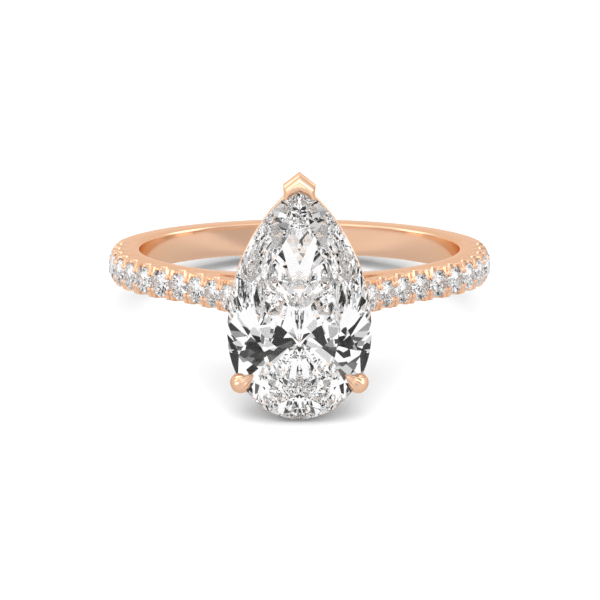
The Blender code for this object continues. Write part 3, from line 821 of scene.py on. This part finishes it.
def make_v_post(material):
    """Post of the V prong, from the base rail up into its cap."""
    outline = ((0.0, 0.0), (-0.84, -0.68), (-0.80, -1.40), (-0.60, -1.40), (0.0, -1.02),
               (0.60, -1.40), (0.80, -1.40), (0.84, -0.68))
    levels = (
        (2.85, BASE_BOTTOM + 0.50, 0.72),
        (4.70, PEAR_GIRDLE_HEIGHT - 1.70, 0.84),
        (V_TIP_Y - 0.20, PEAR_GIRDLE_HEIGHT - 0.60, 0.95),
        (V_TIP_Y - 0.02, PEAR_GIRDLE_HEIGHT - 0.10, 0.99),
    )
    sections = []
    for tip_y, height, scale in levels:
        sections.append([(x * scale, tip_y + y * scale, height) for x, y in outline])
    mesh = loft("v_post", sections, closed=False)
    post = new_object("polished_v_post", mesh, HEAD)
    smooth(post.data, 30.0)
    finish_piece(post, material, ["v_prong"])


# ---------------------------------------------------------------- materials

def node_material(name):
    """New material with its tree and Principled shader."""
    material = bpy.data.materials.new(name)
    material.use_nodes = True
    tree = material.node_tree
    return material, tree, tree.nodes["Principled BSDF"]


def feed(tree, socket, value):
    """Link a socket to another one, or set it to a value."""
    if isinstance(value, bpy.types.NodeSocket):
        tree.links.new(value, socket)
    else:
        socket.default_value = value


def math_node(tree, operation, first, second):
    """Math node whose inputs are sockets or numbers."""
    node = tree.nodes.new("ShaderNodeMath")
    node.operation = operation
    feed(tree, node.inputs[0], first)
    feed(tree, node.inputs[1], second)
    return node.outputs["Value"]


def mix_node(tree, kind, factor, first, second):
    """Mix of two colours or numbers, by a factor socket."""
    node = tree.nodes.new("ShaderNodeMix")
    node.data_type = kind
    feed(tree, node.inputs["Factor"], factor)
    feed(tree, node.inputs["A"], first)
    feed(tree, node.inputs["B"], second)
    return node.outputs["Result"]


def range_node(tree, value, start, end, low, high):
    """Map Range node: a value from start to end becomes low to high."""
    node = tree.nodes.new("ShaderNodeMapRange")
    node.inputs["From Min"].default_value = start
    node.inputs["From Max"].default_value = end
    node.inputs["To Min"].default_value = low
    node.inputs["To Max"].default_value = high
    tree.links.new(value, node.inputs["Value"])
    return node


def noise_node(tree, scale, detail):
    """Noise over the object's own coordinates."""
    place = tree.nodes.new("ShaderNodeTexCoord")
    node = tree.nodes.new("ShaderNodeTexNoise")
    node.inputs["Scale"].default_value = scale
    node.inputs["Detail"].default_value = detail
    tree.links.new(place.outputs["Object"], node.inputs["Vector"])
    return node.outputs["Fac"]


def ramp_node(tree, value, stops, interpolation="LINEAR"):
    """Colour ramp with (position, colour) stops."""
    node = tree.nodes.new("ShaderNodeValToRGB")
    node.color_ramp.interpolation = interpolation
    elements = node.color_ramp.elements
    for index, (position, colour) in enumerate(stops):
        stop = elements[index] if index < 2 else elements.new(position)
        stop.position = position
        stop.color = colour
    tree.links.new(value, node.inputs["Fac"])
    return node.outputs["Color"]


def rose_gold():
    """Polished rose gold: faint clouds in its colour, and polishing marks in roughness and bump. Its
    colour is also painted by ray: paler in reflections, and near black for the floor's rays, which
    paints deeper shadow.
    """
    material, tree, shader = node_material("rose_gold_polished")
    cloud = noise_node(tree, GOLD_CLOUD_SCALE, 3.0)
    grain = noise_node(tree, GOLD_GRAIN_SCALE, 4.0)
    light_path = tree.nodes.new("ShaderNodeLightPath").outputs
    deep = math_node(tree, "GREATER_THAN", light_path["Ray Depth"], 1.5)
    colour = ramp_node(tree, cloud, ((0.30, GOLD_DARKER), (0.70, GOLD_LIGHTER)))
    # painted reflection: gold mirrored in gold takes a paler colour
    colour = mix_node(tree, "RGBA", light_path["Is Glossy Ray"], colour, GOLD_PAINTED_REFLECTION_TINT)
    # painted reflection: after two or more bounces, and through the gems, the gold turns a pale neutral
    colour = mix_node(tree, "RGBA", deep, colour, GOLD_PAINTED_PALE_DEEP_REFLECTION)
    # painted shadow: the gold turns near black for the floor's rays, to darken its contact shadows
    colour = mix_node(tree, "RGBA", light_path["Is Diffuse Ray"], colour, GOLD_PAINTED_FLOOR_SHADOW)
    tree.links.new(colour, shader.inputs["Base Color"])
    rough = range_node(tree, grain, 0.0, 1.0, *GOLD_ROUGHNESS)
    tree.links.new(rough.outputs["Result"], shader.inputs["Roughness"])
    marks = tree.nodes.new("ShaderNodeBump")
    marks.inputs["Distance"].default_value = POLISHING_MARK_METRES
    tree.links.new(grain, marks.inputs["Height"])
    tree.links.new(marks.outputs["Normal"], shader.inputs["Normal"])
    shader.inputs["Metallic"].default_value = 1.0
    shader.inputs["Specular Tint"].default_value = GOLD_EDGE_TINT
    return material


def diamond():
    """Colourless diamond, with a trace of body colour that changes slowly through the stone."""
    material, tree, shader = node_material("diamond")
    cloud = noise_node(tree, DIAMOND_CLOUD_SCALE, 2.0)
    colour = ramp_node(tree, cloud, ((0.0, DIAMOND_COOL), (1.0, WHITE)))
    tree.links.new(colour, shader.inputs["Base Color"])
    shader.inputs["Roughness"].default_value = 0.0
    shader.inputs["IOR"].default_value = DIAMOND_IOR
    shader.inputs["Specular Tint"].default_value = DIAMOND_SHEEN
    shader.inputs["Transmission Weight"].default_value = 1.0
    return material


# ---------------------------------------------------------------- studio

def direction(azimuth, elevation):
    """Unit vector: azimuth 0 is towards the camera side (-Y), positive to the right."""
    a, e = math.radians(azimuth), math.radians(elevation)
    return (math.sin(a) * math.cos(e), -math.cos(a) * math.cos(e), math.sin(e))


def card_strength(tree, coordinates, azimuth, elevation, full, soft, strength):
    """Light added, or taken away, by one round panel that fades out between two angles."""
    dot = tree.nodes.new("ShaderNodeVectorMath")
    dot.operation = "DOT_PRODUCT"
    dot.inputs[1].default_value = direction(azimuth, elevation)
    tree.links.new(coordinates, dot.inputs[0])
    fade = (math.cos(math.radians(soft)), math.cos(math.radians(full)))
    card = range_node(tree, dot.outputs["Value"], *fade, 0.0, strength)
    card.interpolation_type = "SMOOTHSTEP"
    return card.outputs["Result"]


def gem_surroundings(tree, coordinates):
    """Brightness around the gems: a patchwork of bright and dark cells with a few dark cards."""
    cells = tree.nodes.new("ShaderNodeTexVoronoi")
    cells.inputs["Scale"].default_value = GEM_CELL_SCALE
    tree.links.new(coordinates, cells.inputs["Vector"])
    tone = tree.nodes.new("ShaderNodeSeparateColor")
    tree.links.new(cells.outputs["Color"], tone.inputs["Color"])
    stops = [(position, (value, value, value, 1.0)) for position, value in GEM_CELL_TONES]
    cards = ramp_node(tree, tone.outputs["Red"], stops, "CONSTANT")
    for card in GEM_DARK_CARDS:
        cards = math_node(tree, "ADD", card_strength(tree, coordinates, *card), cards)
    return math_node(tree, "MAXIMUM", cards, 0.01)


def make_world():
    """Pale dome for the metal, the gems' own surroundings, and a glow from the front for the floor."""
    world = bpy.data.worlds.new("studio")
    bpy.context.scene.world = world
    world.use_nodes = True
    tree = world.node_tree
    coordinates = tree.nodes.new("ShaderNodeTexCoord").outputs["Generated"]
    dome = 1.0
    for panel in METAL_PANELS:
        dome = math_node(tree, "ADD", card_strength(tree, coordinates, *panel), dome)
    strength = math_node(tree, "MAXIMUM", dome, 0.03)
    cards = gem_surroundings(tree, coordinates)
    floor_light = math_node(tree, "ADD", card_strength(tree, coordinates, *FLOOR_FRONT), FLOOR_SKY)
    light_path = tree.nodes.new("ShaderNodeLightPath").outputs
    strength = mix_node(tree, "FLOAT", light_path["Is Transmission Ray"], strength, cards)
    strength = mix_node(tree, "FLOAT", light_path["Is Diffuse Ray"], strength, floor_light)
    strength = mix_node(tree, "FLOAT", light_path["Is Camera Ray"], strength, BACKDROP)
    background = tree.nodes["Background"]
    tree.links.new(strength, background.inputs["Strength"])
    background.inputs["Color"].default_value = WHITE


def white_paper():
    """Matt white paper; where metal or gems show it, a painted glow stands in for its shading, dimmer
    inside the ring as painted shade.
    """
    material, tree, shader = node_material("white_paper")
    noise = tree.nodes.new("ShaderNodeTexNoise")
    noise.inputs["Scale"].default_value = FLOOR_CLOUD_SCALE
    light_path = tree.nodes.new("ShaderNodeLightPath").outputs
    colour = ramp_node(tree, noise.outputs["Fac"], ((0.0, PAPER_DARKER), (1.0, PAPER_LIGHTER)))
    # the paper turns black for glossy rays, so that only its painted glow shows in reflections
    colour = mix_node(tree, "RGBA", light_path["Is Glossy Ray"], colour, BLACK)
    tree.links.new(colour, shader.inputs["Base Color"])
    place = tree.nodes.new("ShaderNodeTexCoord")
    distance = tree.nodes.new("ShaderNodeVectorMath")
    distance.operation = "LENGTH"
    tree.links.new(place.outputs["Object"], distance.inputs[0])
    # painted shade: the glow that the metal mirrors is dimmer inside the ring than outside it
    mirrored = range_node(
        tree, distance.outputs["Value"], HOLE_DISTANCE, OUTSIDE_DISTANCE, FLOOR_GLOW_IN_HOLE_PAINTED_SHADE, FLOOR_OUTSIDE)
    shown = mix_node(
        tree, "FLOAT", light_path["Is Transmission Ray"], mirrored.outputs["Result"], FLOOR_IN_GEM)
    glow = math_node(tree, "MULTIPLY", light_path["Is Glossy Ray"], shown)
    tree.links.new(glow, shader.inputs["Emission Strength"])
    shader.inputs["Emission Color"].default_value = WHITE
    shader.inputs["Roughness"].default_value = 0.8
    shader.inputs["Specular IOR Level"].default_value = 0.1
    return material


def make_floor():
    """Plain white sheet under the ring."""
    mesh = bpy.data.meshes.new("floor")
    corners = [(x * FLOOR_REACH, y * FLOOR_REACH, 0.0) for x, y in ((-1, -1), (1, -1), (1, 1), (-1, 1))]
    mesh.from_pydata(corners, [], [(0, 1, 2, 3)])
    mesh.materials.append(white_paper())
    floor = bpy.data.objects.new("white_floor", mesh)
    bpy.context.scene.collection.objects.link(floor)


def make_camera():
    """Long lens, almost parallel, a little above the ring's own plane."""
    finger_axis = (RING.to_3x3() @ Vector((0.0, 0.0, 1.0))).normalized()
    elevation = CAMERA_ABOVE_RING + math.atan2(finger_axis.y, finger_axis.z)
    back = Vector((0.0, -math.cos(elevation), math.sin(elevation)))
    up = Vector((0.0, math.sin(elevation), math.cos(elevation)))
    centre = RING.translation + Vector((VIEW_SHIFT_RIGHT * MM, 0.0, 0.0)) - up * (VIEW_SHIFT_DOWN * MM)
    data = bpy.data.cameras.new("camera")
    data.sensor_width = CAMERA_SENSOR
    data.lens = CAMERA_LENS
    data.clip_start = 0.05
    data.clip_end = 20.0
    camera = bpy.data.objects.new("camera", data)
    bpy.context.scene.collection.objects.link(camera)
    camera.location = centre + back * CAMERA_DISTANCE
    camera.rotation_euler = (math.pi / 2.0 - elevation, 0.0, 0.0)
    bpy.context.scene.camera = camera


def main():
    """Build the visual ring and its studio."""
    gold = rose_gold()
    stone = diamond()
    make_band(gold)
    make_strip(-1, "pave_shoulder_left", gold)
    make_strip(1, "pave_shoulder_right", gold)
    make_melee(stone)
    make_pear(stone)
    make_rails(gold)
    make_claws(gold)
    make_v_cap(gold)
    make_v_post(gold)
    make_world()
    make_floor()
    make_camera()
    bpy.context.scene.view_settings.view_transform = "Standard"
    # light bounces many times inside a cut diamond before it comes out
    bpy.context.scene.cycles.max_bounces = 32
    bpy.context.scene.cycles.glossy_bounces = 24
    bpy.context.scene.cycles.transmission_bounces = 32


main()
